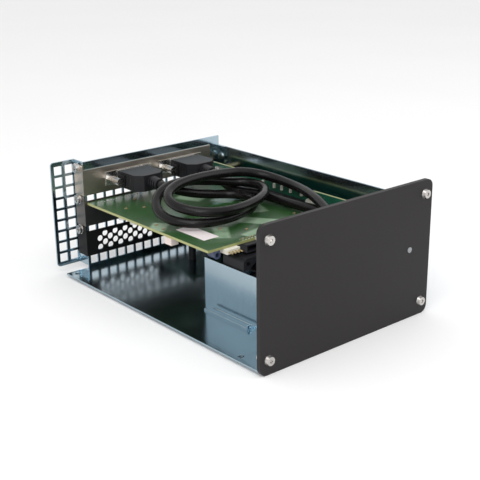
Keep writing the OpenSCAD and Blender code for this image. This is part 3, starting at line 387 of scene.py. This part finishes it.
def cast_metal(name, colour, rough):
    """Small bright metal parts with a soft, uneven shine."""
    made = Finish(name, Metallic=1.0)
    cloud = made.noise(300.0, 3.0)
    made.set(Base_Color=made.mix(cloud, shade(colour, 0.8), shade(colour, 1.1)),
             Roughness=cloud * 0.16 + (rough - 0.08))
    made.bump(cloud, 0.08, 0.00005)
    return made.material


def jacket(name, colour):
    """Extruded cable jacket: satin black with faint lengthwise scuffs."""
    made = Finish(name, Metallic=0.0, Specular_IOR_Level=0.2, Coat_Weight=0.03,
                  Coat_Roughness=0.12)
    cloud = made.noise(70.0, 4.0)
    fine = made.noise(900.0, 3.0)
    scuff = made.noise(240.0, 4.0, (1.0, 0.35, 1.0), 0.65).above(0.62, 0.12)
    even = made.mix(cloud, shade(colour, 0.8), shade(colour, 1.25))
    made.set(Base_Color=made.mix(scuff * 0.5, even, shade(colour, 2.4)),
             Roughness=cloud * 0.12 + scuff * 0.14 + 0.19)
    made.bump(fine, 0.10, 0.00005)
    return made.material


def bare_label(name):
    """A blank paper label with a faint fibre tone."""
    made = Finish(name, Metallic=0.0, Roughness=0.6)
    fibre = made.noise(700.0, 4.0)
    made.set(Base_Color=made.mix(fibre, (0.74, 0.66, 0.66), (0.84, 0.77, 0.77)))
    made.bump(fibre, 0.05, 0.00003)
    return made.material


def board_mask(name, colour, low, high, patches=(), upright=False):
    """Solder mask over copper: traces, vias, paler copper fields and a bare laminate edge."""
    made = Finish(name, Metallic=0.0, Coat_Weight=0.35, Coat_Roughness=0.16)
    x, y, z = made.axes()
    lines_x = made.wave(190.0, "X", 1.2).above(0.82, 0.2)
    lines_y = made.wave(170.0, "Y", 1.2).above(0.82, 0.2)
    zone = made.noise(38.0, 2.0).above(0.52, 0.10)
    traces = zone * lines_x + (1.0 - zone) * lines_y
    gaps = made.noise(55.0, 2.0, (1.0, 1.4, 1.0)).above(0.45, 0.12)
    vias = made.cells(330.0).below(0.16, 0.08) * made.noise(70.0, 2.0).above(0.5, 0.1)
    cloud = made.noise(22.0, 3.0)
    even = made.mix(cloud, shade(colour, 0.82), shade(colour, 1.15))
    tone = made.mix(traces * gaps * 0.55, even, shade(colour, 1.75))
    tone = made.mix(vias * 0.7, tone, VIA_COLOUR)
    fields = None
    for px, py, half_x, half_y, turn in patches:
        cos, sin = math.cos(math.radians(turn)), math.sin(math.radians(turn))
        u = (x - px) * cos + (y - py) * sin
        v = (y - py) * cos - (x - px) * sin
        mask = abs(u).below(half_x, FIELD_SOFT) * abs(v).below(half_y, FIELD_SOFT)
        fields = mask if fields is None else fields.most(mask)
    if fields is not None:
        worn = made.noise(120.0, 3.0).above(0.36, 0.3)
        tone = made.mix(fields * (worn * 0.45 + 0.45), tone, FIELD_COLOUR)
    across, start, end = (z, low[2], high[2]) if upright else (x, low[0], high[0])
    edge = across.below(start + LAMINATE_DEPTH, LAMINATE_SOFT)
    edge = edge.most(across.above(end - LAMINATE_DEPTH, LAMINATE_SOFT))
    edge = edge.most(y.below(low[1] + LAMINATE_DEPTH, LAMINATE_SOFT))
    edge = edge.most(y.above(high[1] - LAMINATE_DEPTH, LAMINATE_SOFT))
    laminate = made.noise(500.0, 3.0, (1.0, 1.0, 4.0))
    tone = made.mix(edge, tone, made.mix(laminate, LAMINATE_DARK, LAMINATE_PALE))
    made.set(Base_Color=tone, Roughness=cloud * 0.08 + (traces * 0.05 + 0.28))
    made.bump(traces * gaps, 0.18, 0.00004)
    return made.material


FINISHES = {}


def finishes():
    """Every finish of the chassis, made once."""
    if FINISHES:
        return FINISHES
    metal = bpy.context.scene.chassis_metal
    cable = bpy.context.scene.chassis_cable
    board = bpy.context.scene.chassis_board
    card_low, card_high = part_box("card_board")
    bridge_low, bridge_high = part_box("bridge_board")
    zinc = tuple(metal.zinc)
    FINISHES.update({
        # Painted shade: the zinc colour is darkened (0.68, 0.72 and 0.70 of it) to stand in for the dark
        # inside that the plated sheets reflect, so these three copies differ in painted brightness
        "zinc": plated("zinc_sheet", shade(zinc, 0.68), 0.18),
        "zinc_bracket": plated("zinc_bracket", shade(zinc, 0.72), 0.20, MARKS_ALONG_Z),
        "zinc_panel": plated("zinc_panel", shade(zinc, 0.70), 0.15, MARKS_ALONG_X),
        "charcoal": powder_coat("charcoal_plate", tuple(metal.charcoal)),
        "bright": cast_metal("bright_hardware", (0.58, 0.56, 0.54), 0.26),
        # Painted reflection: the upper bracket is bright plated steel, and its tan colour stands in for
        # the pale pinkish surroundings that it reflects
        "tan": plated("tan_bracket", (0.43, 0.385, 0.33), 0.34, MARKS_ALONG_X),
        # Painted reflection: the card bracket is bright plated steel, and its dark colour stands in for
        # the dark inside that it reflects
        "dark_bracket": plated("dark_bracket", (0.16, 0.15, 0.14), 0.42, MARKS_ALONG_X),
        # Painted reflection: the slot cover is given near-black in place of bright plated steel that
        # reflects the dark inside
        "black_cover": powder_coat("black_cover", (0.009, 0.009, 0.009), 0.5),
        "green": board_mask("green_board", BOARD_GREEN, bridge_low, bridge_high, upright=True),
        "card": board_mask("card_green", tuple(board.mask), card_low, card_high, CARD_FIELDS),
        "plain_green": moulded("plain_green", BOARD_GREEN, 0.36, coat=0.3),
        "gold": cast_metal("gold_metal", (0.78, 0.60, 0.28), 0.28),
        "dark_brass": cast_metal("dark_brass", (0.20, 0.16, 0.09), 0.36),
        "black_plastic": moulded("black_plastic", (0.016, 0.016, 0.018), 0.46),
        "chip": moulded("chip_black", (0.018, 0.018, 0.020), 0.38, 1800.0),
        "heatsink": plated("heatsink_grey", (0.32, 0.34, 0.36), 0.42),
        "part_metal": cast_metal("part_metal", (0.62, 0.61, 0.58), 0.34),
        "port": plated("port_metal", (0.70, 0.70, 0.68), 0.26),
        "ivory": moulded("ivory_plastic", (0.72, 0.69, 0.60), 0.45),
        "pink_white": moulded("pink_white", (0.70, 0.60, 0.55), 0.42),
        "jack_blue": moulded("jack_blue", (0.055, 0.068, 0.12), 0.32, coat=0.3),
        "label": bare_label("label_paper"),
        "bronze": cast_metal("bearing_bronze", (0.45, 0.30, 0.16), 0.38),
        "copper": cast_metal("coil_copper", (0.62, 0.30, 0.16), 0.4),
        "clear": moulded("clear_pipe", (0.24, 0.25, 0.26), 0.18, coat=0.6),
        "led": moulded("led_white", (0.85, 0.85, 0.80), 0.2, coat=0.5),
        "rubber": moulded("moulded_rubber", (0.014, 0.014, 0.016), 0.42, 1600.0, 0.14),
        "jacket": jacket("cable_jacket", tuple(cable.jacket)),
        "solder": cast_metal("solder_metal", (0.42, 0.44, 0.40), 0.4),
        "tantalum": moulded("part_tan", (0.42, 0.27, 0.11), 0.4),
    })
    return FINISHES


# Modelling helpers

def deselect():
    """Leaves edit mode and deselects everything."""
    if bpy.context.object and bpy.context.object.mode != "OBJECT":
        bpy.ops.object.mode_set(mode="OBJECT")
    bpy.ops.object.select_all(action="DESELECT")


def settle(piece, smooth=SMOOTH_ANGLE):
    """Places the piece's transform in its mesh and smooths its round faces."""
    deselect()
    piece.select_set(True)
    bpy.context.view_layer.objects.active = piece
    bpy.ops.object.transform_apply(location=True, rotation=True, scale=True)
    bpy.ops.object.shade_smooth_by_angle(angle=math.radians(smooth))
    return piece


def applied(piece, kind, **settings):
    """Adds a modifier and applies it."""
    deselect()
    piece.select_set(True)
    bpy.context.view_layer.objects.active = piece
    made = piece.modifiers.new(kind.lower(), kind)
    for key, item in settings.items():
        setattr(made, key, item)
    bpy.ops.object.modifier_apply(modifier=made.name)
    return piece


def rounded(piece, width, segments=2):
    """Rounds the piece's sharp edges."""
    return applied(piece, "BEVEL", width=width, segments=segments, limit_method="ANGLE",
                   angle_limit=math.radians(BEVEL_ANGLE), harden_normals=False,
                   miter_outer="MITER_ARC")


def block(name, low, high, edge, segments=2):
    """A block between two corners with rounded edges."""
    deselect()
    low, high = Vector(low), Vector(high)
    bpy.ops.mesh.primitive_cube_add(size=1.0, location=(low + high) / 2)
    piece = bpy.context.object
    piece.name = name
    piece.dimensions = high - low
    bpy.ops.object.transform_apply(location=True, rotation=True, scale=True)
    rounded(piece, edge, segments)
    return settle(piece)


def turned(name, place, axis, stations, sides, smooth=SMOOTH_ANGLE):
    """A turned shape: rings of given radius at given distances along an axis, closed at its ends."""
    deselect()
    first = stations[0]
    bpy.ops.mesh.primitive_circle_add(vertices=sides, radius=first[0], fill_type="NGON",
                                      location=(0, 0, first[1]))
    piece = bpy.context.object
    piece.name = name
    bpy.ops.object.transform_apply(location=True)
    bpy.ops.object.mode_set(mode="EDIT")
    bpy.ops.mesh.select_all(action="SELECT")
    last = first
    for radius, along in stations[1:]:
        bpy.ops.mesh.extrude_region_move(
            TRANSFORM_OT_translate={"value": (0, 0, along - last[1])})
        ratio = radius / last[0]
        bpy.ops.transform.resize(value=(ratio, ratio, 1.0), center_override=(0, 0, along))
        last = (radius, along)
    bpy.ops.mesh.select_all(action="SELECT")
    bpy.ops.mesh.normals_make_consistent(inside=False)
    bpy.ops.object.mode_set(mode="OBJECT")
    piece.matrix_world = Matrix.Translation(Vector(place)) @ Vector((0, 0, 1)).rotation_difference(
        Vector(axis)).to_matrix().to_4x4()
    return settle(piece, smooth)


def joined(name, parts):
    """Joins several pieces into one with a new name."""
    deselect()
    for part in parts:
        part.select_set(True)
    bpy.context.view_layer.objects.active = parts[0]
    if len(parts) > 1:
        bpy.ops.object.join()
    parts[0].name = name
    return parts[0]


def copy_at(piece, shift, name):
    """A copy with its own mesh, shifted."""
    made = piece.copy()
    made.data = piece.data.copy()
    made.name = name
    bpy.context.scene.collection.objects.link(made)
    made.data.transform(Matrix.Translation(Vector(shift)))
    return made


def traced(node, name, edge, dissolve=False):
    """A copy of a node's mesh, merged, with its sharp edges rounded."""
    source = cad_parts[node]
    deselect()
    made = source.copy()
    made.data = source.data.copy()
    made.name = name
    made.parent = None
    made.matrix_world = source.matrix_world.copy()
    made.data.materials.clear()
    bpy.context.scene.collection.objects.link(made)
    made.select_set(True)
    bpy.context.view_layer.objects.active = made
    bpy.ops.object.mode_set(mode="EDIT")
    bpy.ops.mesh.select_all(action="SELECT")
    bpy.ops.mesh.remove_doubles(threshold=MERGE_DISTANCE)
    if dissolve:
        bpy.ops.mesh.dissolve_limited(angle_limit=math.radians(FLAT_ANGLE))
    bpy.ops.object.mode_set(mode="OBJECT")
    rounded(made, edge)
    settle(made, TRACED_SMOOTH_ANGLE)
    return applied(made, "WEIGHTED_NORMAL", keep_sharp=True, weight=100)


def dress(piece, finish, body="chassis", replaces=()):
    """Gives the piece its finish and its body, and hides the nodes that it replaces."""
    piece.data.materials.clear()
    piece.data.materials.append(finishes()[finish])
    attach(piece, body)
    if replaces:
        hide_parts(*replaces)
    return piece


def coat(node, finish):
    """A finish on a node whose own shape stays."""
    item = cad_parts[node]
    item.data.materials.clear()
    item.data.materials.append(finishes()[finish])


# Operators

class CHASSIS_OT_stage(bpy.types.Operator):
    """Camera, floor, lamps and world"""
    bl_idname = "chassis.stage"
    bl_label = "Stage"

    def execute(self, context):
        scene = context.scene
        sizes = scene.chassis_camera
        data = bpy.data.cameras.new("camera")
        data.lens = sizes.lens
        data.sensor_width = SENSOR_WIDTH_MM
        data.clip_start = CLIP_START
        camera = bpy.data.objects.new("camera", data)
        scene.collection.objects.link(camera)
        right, up = Vector(sizes.right), Vector(sizes.up)
        right.normalize()
        up = (up - right * up.dot(right)).normalized()
        back = right.cross(up)
        camera.matrix_world = Matrix.Translation(Vector(sizes.place)) @ Matrix(
            (right, up, back)).transposed().to_4x4()
        scene.camera = camera
        scene.view_settings.view_transform = "Standard"

        deselect()
        bpy.ops.mesh.primitive_plane_add(size=FLOOR_SIZE, location=(0, 0, -FLOOR_DROP))
        floor = context.object
        floor.name = "floor"
        made = Finish("pale_floor", Metallic=0.0, Roughness=0.9, Specular_IOR_Level=0.1)
        tone = made.noise(4.0, 2.0)
        made.set(Base_Color=made.mix(tone, (0.90, 0.90, 0.90), (0.93, 0.93, 0.93)))
        floor.data.materials.append(made.material)

        world = bpy.data.worlds.new("white_studio")
        scene.world = world
        world.use_nodes = True
        tree = world.node_tree
        ground = next(n for n in tree.nodes if n.type == "BACKGROUND")
        ground.inputs["Color"].default_value = (1.0, 1.0, 1.0, 1.0)
        path = tree.nodes.new("ShaderNodeLightPath")
        seen = Value(tree, path.outputs["Is Camera Ray"]).most(
            Value(tree, path.outputs["Is Glossy Ray"])).most(
            Value(tree, path.outputs["Is Transmission Ray"]))
        feed(tree, ground.inputs["Strength"], seen * WORLD_SEEN_BONUS + WORLD_LIGHT)

        for name, place, size, power in (
                ("key", KEY_PLACE, LARGE_LAMP, sizes.key),
                ("fill", FILL_PLACE, LARGE_LAMP, sizes.fill),
                ("front", FRONT_PLACE, SMALL_LAMP, sizes.front)):
            lamp = bpy.data.lights.new(name, "AREA")
            lamp.size = size
            lamp.energy = power
            item = bpy.data.objects.new(name, lamp)
            scene.collection.objects.link(item)
            away = Vector(place) - Vector(LAMP_AIM)
            item.matrix_world = Matrix.Translation(Vector(place)) @ away.to_track_quat(
                "Z", "Y").to_matrix().to_4x4()
        return {"FINISHED"}


class CHASSIS_OT_cable(bpy.types.Operator):
    """The signal cable, in one piece from plug to plug, with its plugs and strain reliefs"""
    bl_idname = "chassis.cable"
    bl_label = "Signal cable"

    def execute(self, context):
        sizes = context.scene.chassis_cable
        ends = [dress(traced(node, node + "_skin", edge), "rubber",
                      replaces=(node,))
                for node, edge in (("plug_left", sizes.plug_edge), ("plug_right", sizes.plug_edge),
                                   ("relief_left", sizes.relief_edge),
                                   ("relief_right", sizes.relief_edge))]
        curve = bpy.data.curves.new("signal_cable_skin", "CURVE")
        curve.dimensions = "3D"
        curve.resolution_u = CABLE_STEPS
        curve.bevel_depth = sizes.diameter / 2
        curve.bevel_resolution = CABLE_ROUNDNESS
        curve.use_fill_caps = True
        line = curve.splines.new("BEZIER")
        line.bezier_points.add(len(CABLE_ROUTE) - 1)
        for knot, place in zip(line.bezier_points, CABLE_ROUTE):
            knot.co = Vector(place) * MM
            knot.handle_left_type = knot.handle_right_type = "AUTO"
        piece = bpy.data.objects.new("signal_cable_skin", curve)
        context.scene.collection.objects.link(piece)
        context.view_layer.update()
        curve.materials.append(finishes()["jacket"])
        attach(piece, "chassis")
        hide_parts("signal_cable")
        ends + [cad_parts["jackscrews"]]
        return {"FINISHED"}


class CHASSIS_OT_sheets(bpy.types.Operator):
    """Sheet metal and the larger mouldings, with their edges rounded"""
    bl_idname = "chassis.sheets"
    bl_label = "Sheet metal"

    def execute(self, context):
        sizes = context.scene.chassis_metal
        for node, name, edge, finish, slot in (
                ("front_plate", "front_plate_skin", sizes.plate_edge, "charcoal", "charcoal_plate"),
                # The zinc finishes here carry painted shade for the dark inside that they reflect
                ("base_tray", "base_tray_skin", sizes.edge, "zinc", "zinc_sheet"),
                ("rear_panel", "rear_panel_skin", sizes.edge, "zinc_panel", "zinc_sheet"),
                ("side_flange", "side_flange_skin", sizes.edge, "zinc_panel", "zinc_sheet"),
                ("end_flange", "end_flange_skin", sizes.edge, "zinc_panel", "zinc_sheet"),
                ("fan_bracket", "fan_bracket_skin", sizes.edge, "zinc_bracket", "zinc_sheet"),
                # Upper bracket: its tan colour is a painted reflection on bright plated steel
                ("daughter_bracket", "upper_bracket_skin", sizes.edge, "tan", "tan_bracket"),
                # Card bracket: its dark colour is a painted reflection on bright plated steel
                ("card_bracket", "card_bracket_skin", sizes.edge, "dark_bracket", "dark_bracket"),
                # Slot cover: its near-black is a painted dark reflection in place of bright plated steel
                ("slot_cover", "slot_cover_skin", sizes.edge, "black_cover", "black_cover"),
                ("fan_frame", "fan_frame_skin", sizes.edge, "black_plastic", "black_plastic"),
                ("pcie_slot", "pcie_slot_skin", sizes.edge, "black_plastic", "black_plastic"),
                ("power_socket", "power_socket_skin", sizes.edge, "black_plastic", "black_plastic"),
                ("card_header", "card_header_skin", sizes.edge, "ivory", "ivory_plastic"),
                ("card_jack", "card_jack_skin", sizes.edge, "jack_blue", "jack_blue")):
            dress(traced(node, name, edge, dissolve=node == "front_plate"), finish,
                  replaces=(node,))
        return {"FINISHED"}


class CHASSIS_OT_bracket(bpy.types.Operator):
    """Bead in the fan bracket's bend, and the rim and upturned front end of its foot"""
    bl_idname = "chassis.bracket"
    bl_label = "Fan bracket details"

    def execute(self, context):
        sizes = context.scene.chassis_metal
        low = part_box("fan_bracket")[0]
        top = low.z + BRACKET_SHEET
        side = low.x + FOOT_WIDTH
        front, back = low.y + FOOT_START, low.y + FOOT_END
        long = back - front - BEAD_SHORTER
        bead = turned("bracket_bead", (side, front + BEAD_INSET, top), (0, 1, 0),
                      [(sizes.bead * BEAD_END_SHARE, 0), (sizes.bead, BEAD_TAPER), (sizes.bead, long),
                       (sizes.bead * BEAD_END_SHARE, long + BEAD_TAPER)], BEAD_SIDES)
        curl = block("bracket_curl", (low.x, front, top - TRIM_SUNK),
                     (low.x + CURL_LENGTH, front + CURL_THICKNESS, top + CURL_HEIGHT),
                     CURL_EDGE, TRIM_SEGMENTS)
        rim = block("bracket_rim", (low.x, front + RIM_INSET, top - TRIM_SUNK),
                    (low.x + RIM_WIDTH, back, top + RIM_HEIGHT), RIM_EDGE, TRIM_SEGMENTS)
        dress(joined("fan_bracket_trim", [bead, curl, rim]), "zinc")
        return {"FINISHED"}


class CHASSIS_OT_card(bpy.types.Operator):
    """Solder joints and small parts on the card's upper side"""
    bl_idname = "chassis.card"
    bl_label = "Card details"

    def execute(self, context):
        sizes = context.scene.chassis_board
        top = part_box("card_board")[1].z
        spots = [(REAR_ROW[0] + i * JOINT_PITCH, REAR_ROW[1]) for i in range(sizes.joints)]
        spots += [(HEADER_ROW_X + i * JOINT_PITCH, y) for i in range(HEADER_JOINTS)
                  for y in HEADER_ROWS_Y]
        spots += [(SIDE_ROW[0] + i * JOINT_PITCH, SIDE_ROW[1]) for i in range(SIDE_JOINTS)]
        first = turned("card_joint", (0, 0, top), (0, 0, 1), JOINT_PROFILE, JOINT_SIDES,
                       JOINT_SMOOTH_ANGLE)
        joints = [copy_at(first, (x, y, 0), "card_joint") for x, y in spots]
        bpy.data.objects.remove(first, do_unlink=True)
        dress(joined("card_solder_joints", joints), "solder")

        base = top - PART_SUNK
        body = block("card_part", (-PART_HALF_LENGTH, -PART_HALF_WIDTH, base),
                     (PART_HALF_LENGTH, PART_HALF_WIDTH, top + PART_HEIGHT), PART_EDGE)
        ends = joined("card_part_end", [
            block("card_part_end", (middle - END_HALF_LENGTH, -END_HALF_WIDTH, base),
                  (middle + END_HALF_LENGTH, END_HALF_WIDTH, top + END_HEIGHT), END_EDGE)
            for middle in (-PART_HALF_LENGTH, PART_HALF_LENGTH)])
        bodies = [copy_at(body, (x, y, 0), "card_part") for x, y in PART_PLACES]
        dress(joined("card_small_parts", bodies), "tantalum")
        pairs = [copy_at(ends, (x, y, 0), "card_part_end") for x, y in PART_PLACES]
        dress(joined("card_part_ends", pairs), "solder")
        for item in (body, ends):
            bpy.data.objects.remove(item, do_unlink=True)
        return {"FINISHED"}


class CHASSIS_OT_coats(bpy.types.Operator):
    """Finishes on the nodes whose own shape stays"""
    bl_idname = "chassis.coats"
    bl_label = "Finishes on nodes"

    def execute(self, context):
        table = {
            "bright": ("clinch_nuts", "fan_screws", "board_screws", "io_screws", "card_screws",
                       "panel_rivets", "hex_posts", "jackscrews", "fan_shaft", "plate_screws",
                       "bracket_screws"),
            "green": ("bridge_board",),
            "plain_green": ("io_board", "led_board"),
            "card": ("card_board",),
            "gold": ("card_contacts", "header_pins"),
            "dark_brass": ("board_standoffs",),
            "black_plastic": ("io_standoffs", "board_link", "card_box_header",
                              "connector_inserts", "led_holder", "fan_rotor"),
            "chip": ("controller_chip", "card_chips"),
            "heatsink": ("controller_heatsink",),
            "part_metal": ("power_inductors", "board_capacitors", "card_capacitors"),
            "port": ("port_sockets", "connector_shells"),
            "ivory": ("fan_socket", "board_parts"),
            "pink_white": ("card_side_connector",),
            "label": ("card_label",),
            "bronze": ("fan_bearing",),
            "copper": ("fan_stator",),
            "clear": ("light_pipe",),
            "led": ("power_led",),
        }
        for finish, nodes in table.items():
            for node in nodes:
                coat(node, finish)
        return {"FINISHED"}


class CHASSIS_PT_panel(bpy.types.Panel):
    """Lists the chassis's operators and sizes"""
    bl_idname = "CHASSIS_PT_panel"
    bl_label = "Chassis"
    bl_space_type = "VIEW_3D"
    bl_region_type = "UI"
    bl_category = "Chassis"

    def draw(self, context):
        for group in (context.scene.chassis_camera, context.scene.chassis_metal,
                      context.scene.chassis_cable, context.scene.chassis_board):
            for key in group.__annotations__:
                self.layout.prop(group, key)
        for made in OPERATORS:
            self.layout.operator(made.bl_idname)


GROUPS = (("chassis_camera", CameraSizes), ("chassis_metal", MetalSizes),
          ("chassis_cable", CableSizes), ("chassis_board", BoardSizes))
OPERATORS = (CHASSIS_OT_stage, CHASSIS_OT_cable, CHASSIS_OT_sheets, CHASSIS_OT_bracket,
             CHASSIS_OT_card, CHASSIS_OT_coats)


def register():
    for name, group in GROUPS:
        bpy.utils.register_class(group)
        setattr(bpy.types.Scene, name, PointerProperty(type=group))
    for made in OPERATORS + (CHASSIS_PT_panel,):
        bpy.utils.register_class(made)


def unregister():
    for made in reversed(OPERATORS + (CHASSIS_PT_panel,)):
        bpy.utils.unregister_class(made)
    for name, group in reversed(GROUPS):
        delattr(bpy.types.Scene, name)
        bpy.utils.unregister_class(group)


def main():
    register()
    for made in OPERATORS:
        group, name = made.bl_idname.split(".")
        getattr(getattr(bpy.ops, group), name)()


if __name__ == "__main__":
    main()
